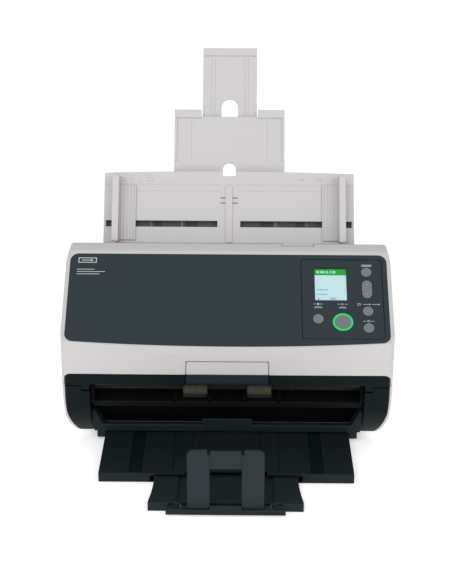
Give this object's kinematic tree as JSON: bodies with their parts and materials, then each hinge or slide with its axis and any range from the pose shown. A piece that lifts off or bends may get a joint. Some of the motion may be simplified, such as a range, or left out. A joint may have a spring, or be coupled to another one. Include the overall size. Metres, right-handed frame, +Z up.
{
  "type": "sheet fed document scanner",
  "caption": "Desktop sheet fed document scanner with a sloping operator panel, a folding paper chute at the back and a sliding stacker in front.",
  "frame": {"origin": "on the desk plane, under the middle of the body's 300 by 170 mm footprint", "axes": "+X to the right, +Y to the back, +Z up; the paper leaves towards -Y"},
  "size_m": [0.3, 0.3634, 0.3177],
  "materials": {
    "light_plastic": "fine textured light warm grey plastic",
    "dark_plastic": "fine textured dark blue-grey plastic",
    "panel_plastic": "smooth dark slate plastic",
    "button_plastic": "smooth mid grey plastic",
    "ring_light": "green translucent light guide",
    "lens": "clear lens",
    "glass": "clear scan glass",
    "sheet_steel": "dark zinc-plated sheet steel",
    "steel": "ground steel",
    "rubber": "dark rubber",
    "khaki_rubber": "khaki foam rubber",
    "brush": "conductive bristle on a dark holder",
    "board": "green circuit board",
    "unit_plastic": "black moulded scan unit",
    "belt": "black toothed belt",
    "gear_plastic": "natural acetal",
    "motor": "motor can",
    "port": "black socket"
  },
  "bodies": {
    "base": {"bottom_tray": "dark_plastic", "rubber_feet": "rubber", "chassis": "sheet_steel", "side_cover_left": "light_plastic", "side_cover_right": "light_plastic", "pillar_left": "dark_plastic", "pillar_right": "dark_plastic", "rear_cover": "light_plastic", "lower_guide": "dark_plastic", "lower_glass": "glass", "lower_scan_unit": "unit_plastic", "drive_motors": "motor", "drive_belts": "belt", "main_board": "board", "rear_ports": "port", "hinge_pins": "steel", "stacker_base": "dark_plastic"},
    "cover": {"cover_shell": "light_plastic", "cover_frame": "dark_plastic", "front_panel": "panel_plastic", "operator_panel": "panel_plastic", "lcd_module": "unit_plastic", "lcd_window": "lens", "scan_ring": "ring_light", "panel_board": "board", "upper_guide": "dark_plastic", "upper_glass": "glass", "upper_scan_unit": "unit_plastic", "static_brush": "brush"},
    "front_tab": {"front_tab": "light_plastic", "front_tab_lip": "dark_plastic"},
    "release_lever": {"release_lever": "light_plastic"},
    "menu_button": {"menu_button": "button_plastic"},
    "manual_feed_button": {"manual_feed_button": "button_plastic"},
    "power_button": {"power_button": "button_plastic"},
    "stop_button": {"stop_button": "button_plastic"},
    "up_down_rocker": {"up_down_rocker": "button_plastic"},
    "scan_button": {"scan_button": "button_plastic"},
    "brake_roller": {"brake_roller": "rubber"},
    "feed_idlers": {"feed_idlers": "gear_plastic"},
    "eject_idlers": {"eject_idlers": "khaki_rubber"},
    "pick_roller": {"pick_shaft": "steel", "pick_rollers": "rubber"},
    "separation_roller": {"separation_roller": "rubber"},
    "feed_roller": {"feed_shaft": "steel", "feed_rollers": "rubber"},
    "eject_roller": {"eject_shaft": "steel", "eject_rollers": "rubber"},
    "main_motor_pulley": {"main_motor_pulley": "gear_plastic"},
    "pick_motor_pulley": {"pick_motor_pulley": "gear_plastic"},
    "stacker_tray": {"stacker_tray": "dark_plastic"},
    "stacker_extension": {"stacker_extension": "dark_plastic"},
    "stacker_end": {"stacker_end": "dark_plastic"},
    "stopper": {"stopper": "dark_plastic"},
    "chute": {"chute_main": "light_plastic"},
    "chute_extension_1": {"chute_extension_1": "light_plastic"},
    "chute_extension_2": {"chute_extension_2": "light_plastic"},
    "side_guide_left": {"side_guide_left": "light_plastic"},
    "side_guide_right": {"side_guide_right": "light_plastic"},
    "rack_pinion": {"rack_pinion": "gear_plastic"}
  },
  "joints": [
    {"name": "cover_hinge", "type": "hinge", "parent": "base", "child": "cover", "pos_m": [0, -0.0785, 0.0582], "axis": [1, 0, 0], "range_deg": [0, 75]},
    {"name": "release_lever_hinge", "type": "hinge", "parent": "cover", "child": "release_lever", "pos_m": [0, 0.012, 0.147], "axis": [1, 0, 0], "range_deg": [0, 8], "stiffness_Nm_per_rad": 0.5, "springref_deg": -5.73},
    {"name": "front_tab_hinge", "type": "hinge", "parent": "cover", "child": "front_tab", "pos_m": [0, -0.0836, 0.0868], "axis": [-1, 0, 0], "range_deg": [0, 20]},
    {"name": "menu_button_press", "type": "slide", "parent": "cover", "child": "menu_button", "axis": [0, 0.5664, -0.8241], "range_m": [0, 0.0008], "stiffness_N_per_m": 600, "springref_m": -0.0005},
    {"name": "manual_feed_button_press", "type": "slide", "parent": "cover", "child": "manual_feed_button", "axis": [0, 0.5664, -0.8241], "range_m": [0, 0.0008], "stiffness_N_per_m": 600, "springref_m": -0.0005},
    {"name": "power_button_press", "type": "slide", "parent": "cover", "child": "power_button", "axis": [0, 0.5664, -0.8241], "range_m": [0, 0.0008], "stiffness_N_per_m": 600, "springref_m": -0.0005},
    {"name": "stop_button_press", "type": "slide", "parent": "cover", "child": "stop_button", "axis": [0, 0.5664, -0.8241], "range_m": [0, 0.0008], "stiffness_N_per_m": 600, "springref_m": -0.0005},
    {"name": "scan_button_press", "type": "slide", "parent": "cover", "child": "scan_button", "axis": [0, 0.5664, -0.8241], "range_m": [0, 0.0008], "stiffness_N_per_m": 600, "springref_m": -0.0005},
    {"name": "up_down_rocker_tilt", "type": "hinge", "parent": "cover", "child": "up_down_rocker", "pos_m": [0.1272, -0.02996, 0.13436], "axis": [1, 0, 0], "range_deg": [-3, 3], "stiffness_Nm_per_rad": 0.05},
    {"name": "brake_roller_spin", "type": "hinge", "parent": "cover", "child": "brake_roller", "pos_m": [0, 0.00187, 0.11458], "axis": [1, 0, 0], "continuous": true},
    {"name": "feed_idlers_spin", "type": "hinge", "parent": "cover", "child": "feed_idlers", "pos_m": [0, -0.00383, 0.0992], "axis": [1, 0, 0], "continuous": true},
    {"name": "eject_idlers_spin", "type": "hinge", "parent": "cover", "child": "eject_idlers", "pos_m": [0, -0.06117, 0.05137], "axis": [1, 0, 0], "continuous": true},
    {"name": "feed_roller_spin", "type": "hinge", "parent": "base", "child": "feed_roller", "pos_m": [0, 0.00984, 0.09032], "axis": [1, 0, 0], "continuous": true},
    {"name": "eject_roller_spin", "type": "hinge", "parent": "base", "child": "eject_roller", "pos_m": [0, -0.0538, 0.03911], "axis": [1, 0, 0], "continuous": true},
    {"name": "main_motor_spin", "type": "hinge", "parent": "base", "child": "main_motor_pulley", "pos_m": [0, -0.024, 0.034], "axis": [1, 0, 0], "continuous": true},
    {"name": "pick_roller_spin", "type": "hinge", "parent": "base", "child": "pick_roller", "pos_m": [0, 0.03305, 0.12294], "axis": [1, 0, 0], "continuous": true},
    {"name": "separation_roller_spin", "type": "hinge", "parent": "base", "child": "separation_roller", "pos_m": [0, 0.01889, 0.10352], "axis": [1, 0, 0], "continuous": true},
    {"name": "pick_motor_spin", "type": "hinge", "parent": "base", "child": "pick_motor_pulley", "pos_m": [0, 0.054, 0.088], "axis": [1, 0, 0], "continuous": true},
    {"name": "stacker_tray_slide", "type": "slide", "parent": "base", "child": "stacker_tray", "axis": [0, 1, 0], "range_m": [0, 0.07]},
    {"name": "stacker_extension_slide", "type": "slide", "parent": "stacker_tray", "child": "stacker_extension", "axis": [0, 1, 0], "range_m": [0, 0.045]},
    {"name": "stacker_end_slide", "type": "slide", "parent": "stacker_extension", "child": "stacker_end", "axis": [0, 1, 0], "range_m": [0, 0.005]},
    {"name": "stopper_fold", "type": "hinge", "parent": "stacker_end", "child": "stopper", "pos_m": [0, -0.2, 0.004], "axis": [-1, 0, 0], "range_deg": [0, 90]},
    {"name": "chute_lift", "type": "slide", "parent": "base", "child": "chute", "axis": [0, 0.5446, 0.8387], "range_m": [0, 0.03]},
    {"name": "chute_extension_1_slide", "type": "slide", "parent": "chute", "child": "chute_extension_1", "axis": [0, -0.5446, -0.8387], "range_m": [0, 0.05]},
    {"name": "chute_extension_2_slide", "type": "slide", "parent": "chute_extension_1", "child": "chute_extension_2", "axis": [0, -0.5446, -0.8387], "range_m": [0, 0.05]},
    {"name": "side_guide_left_slide", "type": "slide", "parent": "chute", "child": "side_guide_left", "axis": [1, 0, 0], "range_m": [0, 0.084]},
    {"name": "side_guide_right_slide", "type": "slide", "parent": "chute", "child": "side_guide_right", "axis": [-1, 0, 0], "range_m": [0, 0.084]},
    {"name": "rack_pinion_spin", "type": "hinge", "parent": "chute", "child": "rack_pinion", "pos_m": [0, 0.05057, 0.17047], "axis": [0, 0.8387, -0.5446], "range_deg": [0, 964]}
  ],
  "couplings": [
    {"joint": "eject_roller_spin", "follows": "feed_roller_spin", "ratio": 1},
    {"joint": "main_motor_spin", "follows": "feed_roller_spin", "ratio": 1.2778},
    {"joint": "separation_roller_spin", "follows": "pick_roller_spin", "ratio": 1},
    {"joint": "pick_motor_spin", "follows": "pick_roller_spin", "ratio": 1.2778},
    {"joint": "side_guide_right_slide", "follows": "side_guide_left_slide", "ratio": 1},
    {"joint": "rack_pinion_spin", "follows": "side_guide_left_slide", "rad_per_m": 200}
  ]
}
